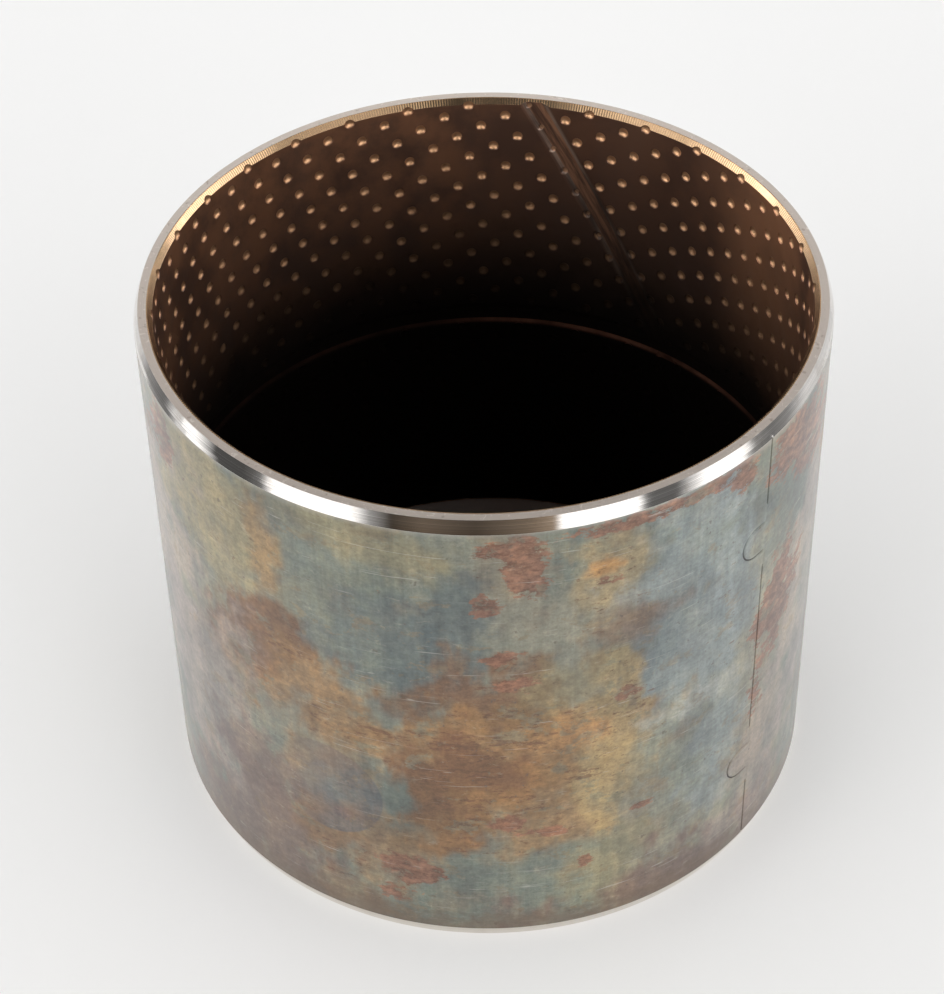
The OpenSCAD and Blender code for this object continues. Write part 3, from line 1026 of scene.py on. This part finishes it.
def studio_floor():
    s = Shader(bpy.data.materials.new("studio_floor"))
    place = s.node("ShaderNodeTexCoord").outputs["Object"]
    colour = s.mix(s.noise(place, 3.0), *FLOOR_GREYS)
    split = s.node("ShaderNodeSeparateXYZ")
    s.put(split.inputs[0], place)
    # Painted shade: the floor is painted darker further back.
    colour = s.mix(s.fade(split.outputs[1], 0.0, 0.35), colour, FLOOR_FAR_SHADE)
    return s.finish(colour, 0.85, s.noise(place, 400), 0.0, 0.001 * MM, Specular_IOR_Level=0.1)


backing.data.materials.append(patinated_steel())
lining.data.materials.append(lining_bronze())


# ---- Studio: floor, reflection cards, world light and camera ----
def circle(radius, count):
    return [(radius * math.cos(TURN * k / count), radius * math.sin(TURN * k / count))
            for k in range(count)]


FLOOR_R, FLOOR_SIDES = 6.0, 96  # metres, count
floor = add_object("floor", [(x, y, 0.0) for x, y in circle(FLOOR_R, FLOOR_SIDES)],
                   [tuple(range(FLOOR_SIDES))])
floor.data.materials.append(studio_floor())

# A ring of cards round the object, in metres, seen only in its polished edges.
CARD_SIDES, CARD_RING_R, CARD_FOOT, CARD_TOP = 180, 0.17, 0.0005, 0.115
WARM = (1.0, 0.76, 0.55)
# Angle round the axis in degrees, brightness, and tint if it isn't white.
CARDS = (
    (-180, 1.3, None), (-175, 1.6, None), (-170, 0.8, None), (-166, 0.09, None),
    (-156, 0.08, None), (-150, 0.20, None), (-147, 1.7, None), (-125, 1.9, None),
    (-120, 0.40, None), (-114, 0.05, WARM), (-106, 0.15, WARM), (-93, 0.07, WARM),
    (-80, 0.19, WARM), (-73, 0.36, WARM), (-71, 1.9, None), (-52, 1.9, None),
    (-49, 0.14, None), (-40, 0.13, None), (-35, 0.95, None), (-30, 1.9, None),
    (-19, 1.9, None), (-15, 0.32, None), (-8, 0.20, None), (0, 0.30, None),
    (10, 0.80, None), (40, 0.75, None), (90, 0.90, None), (150, 0.80, None),
    (157, 0.38, None), (165, 0.22, None), (171, 0.18, None), (176, 0.85, None),
)


def reflection_cards():
    count = CARD_SIDES
    verts = [(x, y, z) for x, y in circle(CARD_RING_R, count) for z in (CARD_FOOT, CARD_TOP)]
    faces = [(2 * k, (2 * k + 2) % (2 * count), (2 * k + 3) % (2 * count), 2 * k + 1)
             for k in range(count)]
    made = add_object("reflection_cards", verts, faces)
    s = Shader(bpy.data.materials.new("reflection_cards"))
    angle = s.polar()[3]
    share = s.plus(s.calc("DIVIDE", angle, TURN), 0.5)
    stops = [((degrees + 180) / 360, tuple(v * light for v in (tint or (1, 1, 1))))
             for degrees, light, tint in CARDS]
    glow = s.node("ShaderNodeEmission")
    s.put(glow.inputs["Color"], s.ramp(share, stops))
    s.put(glow.inputs["Strength"], 1.0)
    out = s.node("ShaderNodeOutputMaterial")
    s.tree.links.new(glow.outputs[0], out.inputs[0])
    made.data.materials.append(s.block)
    made.visible_camera = False
    made.visible_diffuse = False
    made.visible_shadow = False
    made.visible_transmission = False
    return made


reflection_cards()


BACKDROP = 0.92         # brightness of the world as the camera sees it


def studio_light(world):
    """Soft light from the sides, dim overhead, with a key and a fill patch."""
    s = Shader(world)
    direction = s.node("ShaderNodeTexCoord").outputs["Generated"]
    split = s.node("ShaderNodeSeparateXYZ")
    s.put(split.inputs[0], direction)
    x, y, rise = split.outputs

    def toward(way, start, end, low, high):
        """Fades from "low" to "high" near one direction."""
        return s.fade(s.vector("DOT_PRODUCT", direction, way), start, end, low, high)

    sides = s.fade(rise, 0.42, 0.48, 4.3, 0.58)
    light = s.times(sides, s.fade(rise, 0.69, 0.76, 1.0, 0.04))
    light = s.times(light, s.fade(x, -0.3, 0.6, 1.02, 0.97))
    light = s.times(light, s.fade(y, -0.7, 0.5, 1.3, 0.9))
    behind_camera = toward((0.0, -0.79, 0.613), 0.88, 0.96, 1.0, 0.12)
    light = s.times(light, behind_camera)
    key = toward((-0.72, -0.45, 0.52), 0.95, 0.985, 0.0, 1.1)
    light = s.plus(light, key)
    fill = toward((0.42, -0.68, 0.60), 0.965, 0.985, 0.0, 0.7)
    light = s.plus(light, fill)
    seen = s.node("ShaderNodeLightPath").outputs["Is Camera Ray"]
    ground = s.node("ShaderNodeBackground")
    s.put(ground.inputs["Color"], (1.0, 0.995, 0.985, 1))
    s.put(ground.inputs["Strength"], s.blend(seen, light, BACKDROP))
    out = s.node("ShaderNodeOutputWorld")
    s.tree.links.new(ground.outputs[0], out.inputs[0])


bpy.context.scene.world = bpy.data.worlds.new("studio")
studio_light(bpy.context.scene.world)

# The camera looks down at the upper end face from the front. Its aim is given
# as shares of the view's depth, to the right and up.
CAMERA_RISE = math.radians(37.777)
CAMERA_DISTANCE = 7.50068 * OUTER_R * MM
CAMERA_LENS = 94.744
AIM_RIGHT, AIM_UP = -0.0056, -0.0807
CAMERA_ROLL = -0.01777
top_face = Vector((0, 0, LENGTH * MM))
back = Vector((0, -math.cos(CAMERA_RISE), math.sin(CAMERA_RISE)))
right = Vector((1, 0, 0))
up = right.cross(-back)
ahead = (-back + AIM_RIGHT * right + AIM_UP * up).normalized()
level = ahead.cross(up).normalized()
upright = level.cross(ahead)
right = math.cos(CAMERA_ROLL) * level + math.sin(CAMERA_ROLL) * upright
up = math.cos(CAMERA_ROLL) * upright - math.sin(CAMERA_ROLL) * level
lens = bpy.data.cameras.new("camera")
lens.lens = CAMERA_LENS
lens.sensor_width = 36
lens.clip_start, lens.clip_end = 0.01, 50
camera = bpy.data.objects.new("camera", lens)
pose = Matrix.Identity(4)
for column, axis in enumerate((right, up, -ahead)):
    pose.col[column][:3] = axis
pose.col[3][:3] = top_face + back * CAMERA_DISTANCE
camera.matrix_world = pose
bpy.context.scene.collection.objects.link(camera)
bpy.context.scene.camera = camera
bpy.context.scene.view_settings.view_transform = "Standard"
